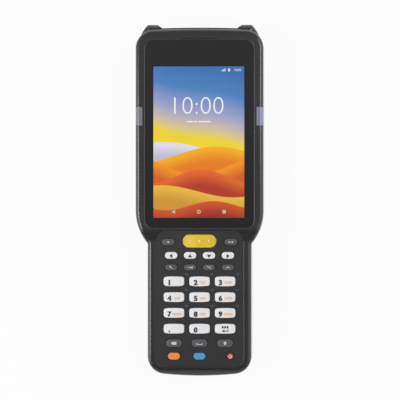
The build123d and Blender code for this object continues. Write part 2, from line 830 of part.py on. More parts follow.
# Status lights: LEDs on the frame's ears, light pipes in the shell's edge
with BuildPart() as status_leds:
    led_x = pipe_x - pipe_gap - frame_ear / 2 - led_size[0] / 2
    with Locations((led_x, pipe_centre, lcd_back), (-led_x, pipe_centre, lcd_back)):
        Box(*led_size, align=on_floor)
save(status_leds, "status_leds")

with BuildPart() as light_pipes:
    pipe_boxes(0)
    add(front_block.part, mode=Mode.INTERSECT)
save(light_pipes, "light_pipes")

# Main board with shield cans, battery contacts and backup cell
board_end = engine_back - board_margin
board_foot = bottom + board_chin
with BuildPart() as main_board:
    with BuildSketch(Plane.XY.offset(board_low)):
        with Locations((0, board_foot)):
            Rectangle(grip_board_width, flare_start - board_foot, align=(Align.CENTER, Align.MIN))
        with Locations((0, board_end)):
            Rectangle(head_board_width, board_end - flare_start, align=(Align.CENTER, Align.MAX))
    extrude(amount=board_plate)
save(main_board, "main_board")

with BuildPart() as shield_cans:
    with Locations((0, (board_end + board_foot) / 2, board_top)):
        with GridLocations(0, can_pitch, 1, can_count):
            Box(can_width, can_length, shield_height, align=on_floor)
            inner_size = (can_width - 2 * can_wall, can_length - 2 * can_wall)
            Box(*inner_size, shield_height - can_wall, align=on_floor, mode=Mode.SUBTRACT)
save(shield_cans, "shield_cans")

contact_y = plug_top - contact_from_plug_end
lid_top = bay_top - fit
with BuildPart() as battery_contacts:
    with Locations((0, contact_y, bay_top)):
        Box(contact_block[0], contact_block[1], board_low - bay_top, align=on_floor)
    with Locations((0, contact_y, lid_top + contact_touch)):
        with GridLocations(contact_pitch, 0, contact_count, 1):
            Cylinder(contact_radius, bay_step, align=on_floor)
save(battery_contacts, "battery_contacts")

with BuildPart() as backup_cell:
    with Locations((-backup_x, panel_centre, board_low)):
        Cylinder(backup_radius, backup_height, align=below)
save(backup_cell, "backup_cell")

# Loudspeaker in its well, vibration motor on the pocket's floor
with BuildPart() as loudspeaker:
    with Locations((0, hump_centre, wall)):
        Box(*speaker_size, align=on_floor)
save(loudspeaker, "loudspeaker")

with BuildPart() as vibration_motor:
    with Locations((motor_x, saddle_centre, pocket_floor)):
        Cylinder(motor_radius, motor_height, align=on_floor)
save(vibration_motor, "vibration_motor")

with BuildPart() as docking_connector:
    with Locations((0, bottom + dock_recess, dock_level)):
        Box(dock_size[0], dock_size[2], dock_size[1], align=(Align.CENTER, Align.MIN, Align.CENTER))
    with Locations((0, bottom + dock_recess, dock_level)):
        with GridLocations(dock_pitch, 0, dock_contact_count, 1):
            Box(dock_pad[0], 2 * dock_pad[2], dock_pad[1])
save(docking_connector, "docking_connector")

# Battery pack: case with the release pockets, lid that plugs into the bay, cells inside
case_top = battery_depth - fit
cell_room = (plug_width - 2 * battery_wall, plug_top - plug_bottom - 2 * battery_wall)
with BuildPart() as latch_room:
    with Locations((chamber_x, latch_y, chamber_low)):
        chamber_length = latch_length + 2 * (latch_flange_reach + latch_gap)
        Box(lip_x - chamber_x, chamber_length, chamber_high - chamber_low, align=along)
    with Locations((lip_x, latch_y, latch_level)):
        mouth = (latch_length + 2 * latch_gap, latch_height + 2 * latch_gap)
        Box(grip_width, mouth[0], mouth[1], align=(Align.MIN, Align.CENTER, Align.CENTER))
    with Locations((chamber_x, latch_y, chamber_low)):
        Box(spring_out + latch_gap - chamber_x, spring_width + 2 * fit, battery_depth, align=along)
    mirror(about=Plane.YZ)

with BuildPart() as battery_case:
    bay_boxes(battery_gap, case_top)
    add(rear_block.part, mode=Mode.INTERSECT)
    with Locations((0, plug_centre, battery_wall)):
        Box(cell_room[0], cell_room[1], battery_depth, align=on_floor, mode=Mode.SUBTRACT)
    add(latch_room.part, mode=Mode.SUBTRACT)
save(battery_case, "battery_case")

with BuildPart() as battery_lid:
    with Locations((0, plug_centre, case_top)):
        lid_length = plug_top - plug_bottom - 2 * battery_gap
        Box(plug_width - 2 * battery_gap, lid_length, lid_top - case_top, align=on_floor)
save(battery_lid, "battery_lid")

cell_length = (cell_room[1] - (cell_count + 1) * cell_gap) / cell_count
with BuildPart() as battery_cells:
    with Locations((0, plug_centre, battery_wall)):
        with GridLocations(0, cell_length + cell_gap, 1, cell_count):
            cell_height = case_top - battery_wall - cell_gap
            Box(cell_room[0] - 2 * cell_gap, cell_length, cell_height, align=on_floor)
save(battery_cells, "battery_cells")

# Leaf springs whose hooks hold the pack in the rear shell
with BuildPart() as latch_springs:
    with BuildSketch(across(latch_y)):
        with BuildLine():
            Polyline(
                (spring_in, chamber_low),
                (spring_out, chamber_low),
                (spring_out, hook_low),
                (spring_out + hook_reach, hook_low),
                (spring_out, hook_high),
                (spring_in, hook_high),
                close=True,
            )
        make_face()
    extrude(amount=spring_width / 2, both=True)
    mirror(about=Plane.YZ)
save(latch_springs, "latch_springs")


def release_button(name, side):
    """A ribbed thumb button held behind the lip of its pocket by a flange; side is +1 or -1."""
    with BuildPart() as button:
        with Locations((flange_x, latch_y, latch_level)):
            flange_size = (latch_length + 2 * latch_flange_reach, latch_height + 2 * latch_flange_reach)
            Box(latch_flange, flange_size[0], flange_size[1], align=(Align.MAX, Align.CENTER, Align.CENTER))
            face_x = flank_x + latch_proud - flange_x
            Box(face_x, latch_length, latch_height, align=(Align.MIN, Align.CENTER, Align.CENTER))
        outer = button.faces().sort_by(Axis.X)[-1]
        chamfer(outer.edges(), latch_proud)
        with Locations((flank_x + latch_proud, latch_y, latch_level)):
            with GridLocations(0, 2 * latch_rib, 1, latch_rib_count):
                Box(2 * latch_rib_height, latch_rib, latch_height - 3 * latch_proud)
        if side < 0:
            mirror(about=Plane.YZ, mode=Mode.REPLACE)
    save(button, name)


release_button("release_button_right", 1)
release_button("release_button_left", -1)


def pill(size):
    """Outline of a key with fully round ends."""
    with BuildSketch() as face:
        SlotOverall(size[0], size[1])
    return face


def pad(size):
    """Outline of a number key: straight sides, gently bulging top and bottom, rounded corners."""
    x, y = size[0] / 2, size[1] / 2
    shoulder_y = y - number_key_bulge
    with BuildSketch() as face:
        with BuildLine():
            for side in (-1, 1):
                ThreePointArc((-x, side * shoulder_y), (0, side * y), (x, side * shoulder_y))
                Line((side * x, -shoulder_y), (side * x, shoulder_y))
        make_face()
        fillet(face.vertices(), number_key_corner)
    return face


def dot(diameter):
    """Outline of a round key."""
    with BuildSketch() as face:
        Circle(diameter / 2)
    return face


# Keypad layout: each row is stacked below the last
row_y = [panel_top - panel_top_margin - scan_key_size[1] / 2]
for above, here, gap in zip(keypad_rows, keypad_rows[1:], row_gaps):
    row_y.append(row_y[-1] - above[1] / 2 - gap - here[1] / 2)
four_x = [(i - 1.5) * four_pitch for i in range(4)]
three_x = [-number_pitch, 0, number_pitch]
number_names = [
    ["number_key_1", "number_key_2", "number_key_3"],
    ["number_key_4", "number_key_5", "number_key_6"],
    ["number_key_7", "number_key_8", "number_key_9"],
    ["point_key", "number_key_0", "enter_key"],
]
keys = {
    "scan_key": (pill(scan_key_size), 0, row_y[0]),
    "side_key_left": (pill(side_key_size), -side_key_x, row_y[0] - side_key_drop),
    "side_key_right": (pill(side_key_size), side_key_x, row_y[0] - side_key_drop),
}
arrow_names = ["arrow_left_key", "arrow_up_key", "arrow_down_key", "arrow_right_key"]
for i, x in enumerate(four_x):
    keys[arrow_names[i]] = (pill(arrow_key_size), x, row_y[1])
    keys[f"function_key_{i + 1}"] = (pill(function_key_size), x, row_y[2])
for names, y in zip(number_names, row_y[3:7]):
    for name, x in zip(names, three_x):
        keys[name] = (pad(number_key_size), x, y)
for name, x in zip(["backspace_key", "space_key", "shift_key"], three_x):
    keys[name] = (pill(wide_key_size), x, row_y[7])
keys["orange_key"] = (pill(shift_key_size), -number_pitch, row_y[8])
keys["blue_key"] = (pill(shift_key_size), 0, row_y[8])
keys["power_key"] = (dot(power_key_diameter), power_key_x, row_y[8])
key_places = [(x, y) for face, x, y in keys.values()]


def key_faces(grow, height):
    """Sketch every key's outline in its place, grown by amount, at a height."""
    with BuildSketch(Plane.XY.offset(height)) as faces:
        for face, x, y in keys.values():
            with Locations((x, y)):
                add(grown(face, grow, 0))
    return faces.sketch


key_top = panel_face + key_proud
for name, (face, x, y) in keys.items():
    with BuildPart() as key:
        # cap with a crowned top and a soft edge
        with BuildSketch(Plane.XY.offset(panel_back)):
            with Locations((x, y)):
                add(face.sketch)
        extrude(amount=key_top - panel_back)
        with Locations((x, y, key_top - key_crown)):
            Cylinder(key_crown, reach, rotation=(90, 0, 0), mode=Mode.INTERSECT)
        fillet(key.faces().sort_by(Axis.Z)[-1].edges(), key_edge)
        # flange that the panel holds down
        with BuildSketch(Plane.XY.offset(key_foot)):
            with Locations((x, y)):
                add(grown(face, key_flange_reach, 0))
        extrude(amount=key_flange)
        if name == "scan_key":
            for i in range(scan_nub_count):
                nub_x = (i - (scan_nub_count - 1) / 2) * scan_nub_pitch
                crown = key_top - key_crown + sqrt(key_crown**2 - nub_x**2)
                with Locations((x + nub_x, y, crown + scan_nub_height - scan_nub_radius)):
                    Sphere(scan_nub_radius)
    save(key, name)

# Keypad stack below the caps: panel, silicone mat, board and snap domes
with BuildPart() as keypad_panel:
    with BuildSketch(Plane.XY.offset(panel_seat)):
        add(panel_plan.sketch)
    extrude(amount=panel_plate)
    extrude(grown(panel_plan, panel_flange_reach, panel_back), amount=panel_flange)
    extrude(key_faces(key_gap, panel_back), amount=depth, mode=Mode.SUBTRACT)
save(keypad_panel, "keypad_panel")

with BuildPart() as keypad_mat:
    extrude(grown(panel_plan, mat_reach, web_low), amount=mat_web)
    with BuildSketch(Plane.XY.offset(keypad_board_top)):
        add(grown(panel_plan, mat_reach, 0))
        add(grown(panel_plan, mat_reach - mat_rim, 0), mode=Mode.SUBTRACT)
    extrude(amount=panel_back - keypad_board_top)
    extrude(key_faces(0, web_top), amount=mat_pad)
    with Locations(*[(x, y, web_low) for x, y in key_places]):
        Cylinder(mat_nub_radius, mat_nub, align=below)
save(keypad_mat, "keypad_mat")

with BuildPart() as keypad_board:
    extrude(grown(panel_plan, mat_reach, frame_top), amount=keypad_board_plate)
save(keypad_board, "keypad_board")

with BuildPart() as key_domes:
    with BuildSketch(Plane.XY.offset(keypad_board_top)):
        with Locations(*key_places):
            Circle(dome_radius)
    extrude(amount=dome_height, taper=dome_slope)
save(key_domes, "key_domes")
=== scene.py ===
"""Studio scene of a handheld computer: finishes for its parts, printed key marks and a lit screen."""
import math

import bmesh
import bpy
import numpy as np
from mathutils import Matrix, Vector


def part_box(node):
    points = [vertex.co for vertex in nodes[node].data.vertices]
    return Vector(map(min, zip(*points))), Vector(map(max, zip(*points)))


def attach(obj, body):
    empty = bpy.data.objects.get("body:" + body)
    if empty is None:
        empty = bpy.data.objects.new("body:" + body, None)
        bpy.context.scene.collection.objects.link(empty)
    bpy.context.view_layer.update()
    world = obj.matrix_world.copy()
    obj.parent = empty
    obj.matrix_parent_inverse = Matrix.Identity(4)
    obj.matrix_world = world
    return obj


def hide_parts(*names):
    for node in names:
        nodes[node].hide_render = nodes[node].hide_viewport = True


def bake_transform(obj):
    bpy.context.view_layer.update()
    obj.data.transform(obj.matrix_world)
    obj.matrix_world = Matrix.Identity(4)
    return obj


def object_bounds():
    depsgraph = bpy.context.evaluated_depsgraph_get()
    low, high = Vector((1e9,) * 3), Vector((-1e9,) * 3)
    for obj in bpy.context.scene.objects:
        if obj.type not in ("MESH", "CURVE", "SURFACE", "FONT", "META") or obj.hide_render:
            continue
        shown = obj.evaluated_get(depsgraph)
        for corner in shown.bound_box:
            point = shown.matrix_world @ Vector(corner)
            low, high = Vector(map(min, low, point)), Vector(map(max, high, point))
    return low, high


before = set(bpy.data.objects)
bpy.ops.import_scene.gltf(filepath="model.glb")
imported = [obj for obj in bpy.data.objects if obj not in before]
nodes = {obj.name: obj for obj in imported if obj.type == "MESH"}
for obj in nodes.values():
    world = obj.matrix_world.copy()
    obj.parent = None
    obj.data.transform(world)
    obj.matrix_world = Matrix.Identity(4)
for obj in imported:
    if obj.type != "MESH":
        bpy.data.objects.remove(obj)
cad_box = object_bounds()

MM = 0.001
HOUSING = "housing"

# Screen, in millimetres
LIT_WIDTH = 52.3
LIT_LENGTH = 87.1
LIT_MIDDLE_X = -0.43
LIT_MIDDLE_Y = 33.3

# Radius of the crowned key caps and lift of printed marks, in millimetres
KEY_CROWN = 30.0
INK_LIFT = 0.02

# Points of a piece that lie nearer than this are merged, in millimetres
WELD = 0.0002

# Width that a pointed strip ends in, in millimetres
TIP = 0.02


def tint(red, green, blue):
    """Linear colour with full alpha of an 8-bit screen colour."""
    part = np.array([red, green, blue]) / 255
    linear = np.where(part <= 0.04045, part / 12.92, ((part + 0.055) / 1.055) ** 2.4)
    return (*linear.tolist(), 1.0)


def shade(color, factor):
    """A colour made darker or lighter by a factor, alpha kept."""
    return tuple(min(1.0, channel * factor) for channel in color[:3]) + (color[3],)


class Wire:
    """One shader value. Arithmetic on wires and numbers adds Math nodes to the wire's own graph."""

    def __init__(self, graph, socket):
        self.graph = graph
        self.socket = socket

    def math(self, operation, *values):
        """One Math node on the given values."""
        return self.graph.node("ShaderNodeMath", {"operation": operation}, dict(enumerate(values)))

    def __add__(self, other):
        return self.math("ADD", self, other)

    def __sub__(self, other):
        return self.math("SUBTRACT", self, other)

    def __rsub__(self, other):
        return self.math("SUBTRACT", other, self)

    def __mul__(self, other):
        return self.math("MULTIPLY", self, other)

    def __truediv__(self, other):
        return self.math("DIVIDE", self, other)

    __radd__ = __add__
    __rmul__ = __mul__

    def sine(self):
        return self.math("SINE", self)

    def size(self):
        return self.math("ABSOLUTE", self)

    def least(self, other):
        return self.math("MINIMUM", self, other)

    def most(self, other):
        return self.math("MAXIMUM", self, other)

    def wrap(self, period):
        """The value counted from the middle of its nearest period."""
        return self.math("WRAP", self, period / 2, -period / 2)

    def ramp(self, low, high):
        """Runs smoothly from 0 at low to 1 at high."""
        edges = {"Value": self, "From Min": low, "From Max": high, "To Min": 0.0, "To Max": 1.0}
        settings = {"interpolation_type": "SMOOTHSTEP", "clamp": True}
        return self.graph.node("ShaderNodeMapRange", settings, edges)


class Graph:
    """A node tree under construction, joined up by wires."""

    def __init__(self, tree):
        self.tree = tree

    def node(self, kind, settings=None, sockets=None, out=0):
        """Add any node: its settings first, then the values or wires of its sockets."""
        made = self.tree.nodes.new(kind)
        for key, value in (settings or {}).items():
            if key == "stops":
                self.fill_ramp(made.color_ramp, value)
            else:
                setattr(made, key, value)
        for key, value in (sockets or {}).items():
            self.join(made.inputs[key], value)
        return Wire(self, made.outputs[out])

    def fill_ramp(self, color_ramp, stops):
        """Give a colour ramp its stops; a new ramp has two already."""
        for index, (at, color) in enumerate(stops):
            stop = color_ramp.elements[index] if index < 2 else color_ramp.elements.new(at)
            stop.position = at
            stop.color = color

    def join(self, socket, value):
        """Link a wire to a socket, or set the socket to a plain value."""
        if isinstance(value, Wire):
            self.tree.links.new(value.socket, socket)
        else:
            socket.default_value = value


class Finish(Graph):
    """A material under construction: a Principled shader, fed by wires."""

    def __init__(self, name, **fixed):
        self.material = bpy.data.materials.new(name)
        self.material.use_nodes = True
        super().__init__(self.material.node_tree)
        self.shader = self.tree.nodes["Principled BSDF"]
        for socket, value in fixed.items():
            self.set(socket.replace("_", " ").title(), value)

    def set(self, socket, value):
        """Feed one of the shader's own sockets."""
        self.join(self.shader.inputs[socket], value)

    def place(self):
        """Object coordinates in millimetres."""
        where = self.node("ShaderNodeTexCoord", out="Object")
        return self.node("ShaderNodeVectorMath", {"operation": "SCALE"}, {0: where, "Scale": 1 / MM})

    def axes(self):
        """The three coordinates in millimetres, as wires."""
        place = self.place()
        return [self.node("ShaderNodeSeparateXYZ", {}, {0: place}, out=axis) for axis in range(3)]

    def noise(self, place, pitch, detail=2.0, rough=0.5):
        """Noise from 0 to 1 whose lumps are about pitch millimetres across."""
        sockets = {"Vector": place, "Scale": 1 / pitch, "Detail": detail, "Roughness": rough}
        return self.node("ShaderNodeTexNoise", {}, sockets)

    def blend(self, factor, first, second):
        """Colour between two colours."""
        settings = {"data_type": "RGBA", "clamp_factor": True}
        return self.node("ShaderNodeMix", settings, {0: factor, 6: first, 7: second}, out=2)

    def bump(self, height, depth):
        """Raise the surface by depth millimetres where height is 1."""
        normal = self.node("ShaderNodeBump", {}, {"Strength": 1.0, "Distance": depth * MM, "Height": height})
        self.set("Normal", normal)


def moulded(name, color, roughness, grain=0.22, depth=0.010, mottle=0.07, **fixed):
    """Moulded plastic or rubber: eroded grain, slow drift of tone, and gloss that follows both."""
    finish = Finish(name, **fixed)
    place = finish.place()
    drift = finish.noise(place, 18.0)
    grit = finish.noise(place, grain, 3.0, 0.6)
    finish.set("Base Color", finish.blend(drift, shade(color, 1 - mottle), shade(color, 1 + mottle)))
    finish.set("Roughness", roughness + (grit - 0.5) * 0.16 + (drift - 0.5) * 0.08)
    finish.bump(grit, depth)
    return finish


def coated(name, color, roughness, coat_roughness, **grain):
    """Moulded plastic under a satin hard coat, which draws the narrow lights along its edges."""
    finish = moulded(name, color, roughness, depth=0.0008, coat_weight=0.75, **grain)
    finish.set("Coat Roughness", coat_roughness)
    return finish


def metal(name, color, roughness, brush=(0.3, 8.0, 0.3), depth=0.004):
    """Bare metal with fine lines drawn out along one axis."""
    finish = Finish(name, metallic=1.0)
    place = finish.place()
    stretch = finish.node("ShaderNodeVectorMath", {"operation": "DIVIDE"}, {0: place, 1: brush})
    lines = finish.node("ShaderNodeTexNoise", {}, {"Vector": stretch, "Scale": 1.0, "Detail": 3.0})
    finish.set("Base Color", finish.blend(lines, shade(color, 0.88), shade(color, 1.08)))
    finish.set("Roughness", roughness + (lines - 0.5) * 0.2)
    finish.bump(lines, depth)
    return finish


# Finishes of the case
shell = coated("charcoal_shell", tint(31, 31, 32), 0.27, 0.17)
edge = coated("satin_edge", tint(31, 31, 32), 0.36, 0.32)
bumper = coated("bumper_elastomer", tint(31, 31, 32), 0.30, 0.22, grain=0.4)
panel = moulded("keypad_panel_satin", tint(41, 41, 43), 0.32, grain=0.16, depth=0.004)
latch = moulded("latch_plastic", tint(35, 35, 36), 0.45)
silicone = moulded("grey_silicone", tint(90, 90, 94), 0.62, grain=0.3)
seal = moulded("black_seal", tint(26, 26, 27), 0.60)
black = moulded("black_moulding", tint(24, 24, 25), 0.40)


def key_plastic(name, color):
    """Dyed key cap: satin, faintly uneven, with a thin hard coat."""
    finish = moulded(name, color, 0.46, grain=0.35, depth=0.003, mottle=0.03, coat_weight=0.12)
    finish.set("Coat Roughness", 0.25)
    return finish


white_key = key_plastic("white_key_cap", tint(229, 229, 231))
grey_key = key_plastic("grey_key_cap", tint(76, 76, 79))
yellow_key = key_plastic("yellow_key_cap", tint(218, 189, 22))
orange_key = key_plastic("orange_key_cap", tint(230, 136, 78))
blue_key = key_plastic("blue_key_cap", tint(70, 146, 192))
red_key = key_plastic("red_key_cap", tint(150, 24, 22))


# The print on the glass fades out between these distances from the lit area, in millimetres
PRINT_EDGE = (0.05, 0.25)
CLEAR_ALPHA = 0.06


def cover_glass():
    """Cover glass: dark print on its border, clear over the lit area."""
    finish = Finish("cover_glass_print", base_color=tint(28, 28, 29), roughness=0.12, coat_weight=0.4)
    finish.set("Coat Roughness", 0.05)
    x, y, _ = finish.axes()
    over = ((x - LIT_MIDDLE_X).size() - LIT_WIDTH / 2).most((y - LIT_MIDDLE_Y).size() - LIT_LENGTH / 2)
    finish.set("Alpha", over.ramp(*PRINT_EDGE) * (1 - CLEAR_ALPHA) + CLEAR_ALPHA)
    return finish


def screen_image():
    """Lit display: a cool sky that warms downwards, with layered waves below it, one pale and five warm."""
    finish = Finish("lit_display", base_color=tint(12, 12, 14), roughness=0.18, emission_strength=1.0)
    x, y, _ = finish.axes()
    across = (x - LIT_MIDDLE_X) / LIT_WIDTH + 0.5
    up = (y - LIT_MIDDLE_Y) / LIT_LENGTH + 0.5
    tilt = up + (across - 0.5) * 0.16 + ((across * 5.0 + 0.6).sine()) * 0.02
    sky_stops = [
        (0.42, tint(246, 220, 16)),
        (0.53, tint(240, 214, 52)),
        (0.61, tint(206, 190, 170)),
        (0.70, tint(160, 164, 204)),
        (0.84, tint(80, 132, 192)),
        (1.00, tint(60, 112, 176)),
    ]
    color = finish.node("ShaderNodeValToRGB", {"stops": sky_stops}, {0: tilt})
    # each wave: height, swing, radians across the screen, phase, crest colour, foot colour
    waves = [
        (0.440, 0.060, 3.0, 1.2, tint(228, 224, 238), tint(196, 190, 216)),
        (0.415, 0.055, 3.6, -0.9, tint(248, 176, 30), tint(232, 126, 28)),
        (0.345, 0.060, 4.4, 2.6, tint(244, 150, 36), tint(214, 96, 32)),
        (0.270, 0.045, 5.2, 5.1, tint(226, 104, 40), tint(178, 58, 38)),
        (0.175, 0.040, 4.0, 1.2, tint(234, 186, 66), tint(208, 150, 52)),
        (0.080, 0.030, 6.0, 3.9, tint(206, 84, 40), tint(146, 46, 40)),
    ]
    for height, swing, turn, phase, crest, foot in waves:
        below = (across * turn + phase).sine() * swing + height - up
        body = finish.blend(below.ramp(0.0, 0.11), crest, foot)
        color = finish.blend(below.ramp(-0.004, 0.004), color, body)
    finish.set("Emission Color", color)
    return finish


# Lattice of traces on the boards, in millimetres
TRACE_PITCH = (1.3, 2.1)
TRACE_EDGE = (0.12, 0.20)


def circuit_board():
    """Green laminate with a fine lattice of traces under the mask."""
    finish = Finish("circuit_laminate", roughness=0.38, coat_weight=0.3)
    x, y, _ = finish.axes()
    columns = x.wrap(TRACE_PITCH[0]).size().ramp(*TRACE_EDGE)
    rows = y.wrap(TRACE_PITCH[1]).size().ramp(*TRACE_EDGE)
    chance = finish.noise(finish.place(), 7.0, 0.0)
    traces = (1 - columns.least(rows)) * chance.ramp(0.42, 0.52)
    finish.set("Base Color", finish.blend(traces, tint(18, 74, 48), tint(38, 112, 70)))
    finish.bump(traces, 0.02)
    return finish


# Painted shade along the light pipes, standing in for the shading at their edge: its place to each side, and
# where it fades, in millimetres
PIPE_SHADE_X = 34.1
PIPE_SHADE_EDGE = (0.3, 0.8)


def light_pipe():
    """Milky light pipe: pale lavender, cloudy, with a strip of painted shade along its front."""
    finish = Finish("milky_light_pipe", roughness=0.30, coat_weight=0.3, subsurface_weight=0.2)
    place = finish.place()
    cloud = finish.noise(place, 3.0)
    x, _, _ = finish.axes()
    beside = (x.size() - PIPE_SHADE_X).size().ramp(*PIPE_SHADE_EDGE)
    left = finish.blend(cloud, tint(108, 111, 122), tint(126, 128, 139))
    right = finish.blend(cloud, tint(138, 135, 168), tint(160, 157, 190))
    pale = finish.blend(x.ramp(-1.0, 1.0), left, right)
    # the grey strip blended in here is painted shade along the pipe's edge
    finish.set("Base Color", finish.blend(beside, tint(118, 118, 128), pale))
    finish.bump(finish.noise(place, 0.3), 0.001)
    return finish


def scan_glass():
    """Scan window: dark clear plastic with a faint red tint."""
    finish = Finish("scan_window_plastic", roughness=0.06, coat_weight=0.5)
    place = finish.place()
    haze = finish.noise(place, 12.0)
    finish.set("Base Color", finish.blend(haze, tint(34, 8, 10), tint(44, 12, 14)))
    finish.set("Alpha", haze * 0.08 + 0.55)
    return finish


def gold_marked(name, color, mask_of):
    """Black moulding whose contact places are gold plated."""
    finish = Finish(name)
    x, y, z = finish.axes()
    gold = mask_of(x, y, z)
    grit = finish.noise(finish.place(), 0.3)
    finish.set("Base Color", finish.blend(gold, color, tint(226, 182, 92)))
    finish.set("Metallic", gold)
    finish.set("Roughness", 0.45 - gold * 0.2 + (grit - 0.5) * 0.1)
    finish.bump(grit, 0.004)
    return finish


def low(node, axis):
    """Lowest coordinate of a node's box along an axis, in millimetres."""
    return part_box(node)[0][axis] / MM


def high(node, axis):
    """Highest coordinate of a node's box along an axis, in millimetres."""
    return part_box(node)[1][axis] / MM


def middle(node, axis):
    """Middle of a node's box along an axis, in millimetres."""
    return (low(node, axis) + high(node, axis)) / 2


steel = metal("bright_steel", tint(186, 187, 190), 0.30)
dark_steel = metal("blackened_steel", tint(66, 66, 69), 0.38, brush=(0.3, 0.3, 0.3))
cast = metal("cast_frame_alloy", tint(168, 170, 174), 0.46, brush=(0.6, 0.6, 0.6), depth=0.010)
foil = metal("cell_foil", tint(176, 178, 182), 0.34, brush=(6.0, 0.8, 0.8))
glass = cover_glass()
display = screen_image()
laminate = circuit_board()
milky = light_pipe()
window = scan_glass()

# Gold plating of the contacts, told from the moulding by its place, in millimetres
DOCK_FACE = low("docking_connector", 1)
DOCK_PLATED = 0.16
TIP_LEVEL = low("battery_contacts", 2)
TIP_PLATED = 0.10
PLATING_FADE = 0.06
TERMINAL_Y = middle("battery_contacts", 1)
TERMINAL_PITCH = 2.6
LID_TOP = high("battery_lid", 2)
# half sizes of a pad and of the row of pads: plated within the first number, bare past the second
PAD_HALF_WIDTH = (0.80, 0.84)
PAD_HALF_LENGTH = (1.70, 1.75)
ROW_HALF_LENGTH = (6.4, 6.5)


def dock_pads(x, y, z):
    """Faces of the docking connector's pads, which stand proud of its moulding."""
    plated = DOCK_FACE + DOCK_PLATED
    return 1 - y.ramp(plated, plated + PLATING_FADE)


def sprung_tips(x, y, z):
    """Tips of the sprung contacts, which stand out below their moulding."""
    plated = TIP_LEVEL + TIP_PLATED
    return 1 - z.ramp(plated, plated + PLATING_FADE)


def terminals(x, y, z):
    """Five plated pads on the lid, under the sprung contacts."""
    across = (1 - x.wrap(TERMINAL_PITCH).size().ramp(*PAD_HALF_WIDTH)) * (1 - x.size().ramp(*ROW_HALF_LENGTH))
    along = 1 - (y - TERMINAL_Y).size().ramp(*PAD_HALF_LENGTH)
    return across * along * z.ramp(LID_TOP - 0.05, LID_TOP - 0.02)


dock = gold_marked("dock_contacts", tint(24, 24, 25), dock_pads)
sprung = gold_marked("sprung_contacts", tint(24, 24, 25), sprung_tips)
lid = gold_marked("battery_lid_contacts", tint(34, 34, 35), terminals)

# Finish of every part
NUMBER_KEYS = [f"number_key_{digit}" for digit in range(10)]
ARROW_KEYS = ["arrow_left_key", "arrow_up_key", "arrow_down_key", "arrow_right_key"]
FUNCTION_KEYS = [f"function_key_{place}" for place in range(1, 5)]
SIDE_KEYS = ["side_key_left", "side_key_right"]
WIDE_KEYS = ["backspace_key", "space_key", "shift_key"]
finishes = [
    (shell, ["front_housing", "rear_housing", "battery_case"]),
    (bumper, ["head_bumper"]),
    (panel, ["keypad_panel"]),
    (latch, ["release_button_left", "release_button_right"]),
    (silicone, ["keypad_mat"]),
    (seal, ["housing_seal", "display_gasket"]),
    (black, ["scan_engine", "loudspeaker", "lcd_module"]),
    (white_key, NUMBER_KEYS + ARROW_KEYS + ["point_key", "enter_key"]),
    (grey_key, FUNCTION_KEYS + SIDE_KEYS + WIDE_KEYS),
    (yellow_key, ["scan_key"]),
    (orange_key, ["orange_key"]),
    (blue_key, ["blue_key"]),
    (red_key, ["power_key"]),
    (glass, ["touch_glass"]),
    (laminate, ["main_board", "keypad_board"]),
    (milky, ["light_pipes", "status_leds"]),
    (window, ["scan_window"]),
    (dock, ["docking_connector"]),
    (sprung, ["battery_contacts"]),
    (lid, ["battery_lid"]),
    (steel, ["shield_cans", "key_domes", "latch_springs", "backup_cell", "vibration_motor"]),
    (dark_steel, ["housing_screws"]),
    (cast, ["chassis_frame", "engine_bracket"]),
    (foil, ["battery_cells"]),
]
for finish, names in finishes:
    for name in names:
        nodes[name].data.materials.clear()
        nodes[name].data.materials.append(finish.material)


def grid_faces(rows, columns):
    """Quads of a grid of rows by columns points."""
    first = (np.arange(rows - 1)[:, None] * columns + np.arange(columns - 1)[None, :]).ravel()
    return np.stack([first, first + 1, first + columns + 1, first + columns], axis=1)


def piece_of(name, points, faces, body, slot, inks, cover=None, smooth=False):
    """A piece from points in millimetres, with the doubled points of seams and poles merged.

    A piece given no body is left unattached.
    """
    mesh = bpy.data.meshes.new(name)
    mesh.from_pydata((points * MM).tolist(), [], faces)
    for finish in inks:
        mesh.materials.append(finish.material)
    if cover:
        mesh.polygons.foreach_set("material_index", cover)
    mesh.polygons.foreach_set("use_smooth", [smooth] * len(mesh.polygons))
    welded = bmesh.new()
    welded.from_mesh(mesh)
    bmesh.ops.remove_doubles(welded, verts=welded.verts, dist=WELD * MM)
    welded.to_mesh(mesh)
    welded.free()
    piece = bpy.data.objects.new(name, mesh)
    bpy.context.scene.collection.objects.link(piece)
    if body:
        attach(piece, body)
    return piece


def strip(start, end, width, end_width=None, steps=6):
    """A bar from start to end: points run along its line and across a width that goes evenly to end_width."""
    last = width if end_width is None else end_width
    start, end = np.array(start, float), np.array(end, float)
    along = np.linspace(0, 1, steps)[:, None]
    across = np.linspace(-0.5, 0.5, 3)[None, :]
    heading = (end - start) / np.linalg.norm(end - start)
    side = np.array([-heading[1], heading[0]])
    reach = (width + (last - width) * along) * across
    points = start + along[..., None] * (end - start) - reach[..., None] * side
    return points.reshape(-1, 2), grid_faces(steps, 3)


RING_STEPS = 41


def ring(centre, outer, inner=0.0, start=0.0, sweep=360.0, bands=3):
    """A disc, ring or part of one: points run round an angle and out from the inner to the outer radius."""
    angle = np.radians(np.linspace(start, start + sweep, RING_STEPS))[:, None]
    radius = np.linspace(inner, outer, bands)[None, :]
    points = np.stack([centre[0] - radius * np.sin(angle), centre[1] + radius * np.cos(angle)], axis=2)
    return points.reshape(-1, 2), grid_faces(RING_STEPS, bands)


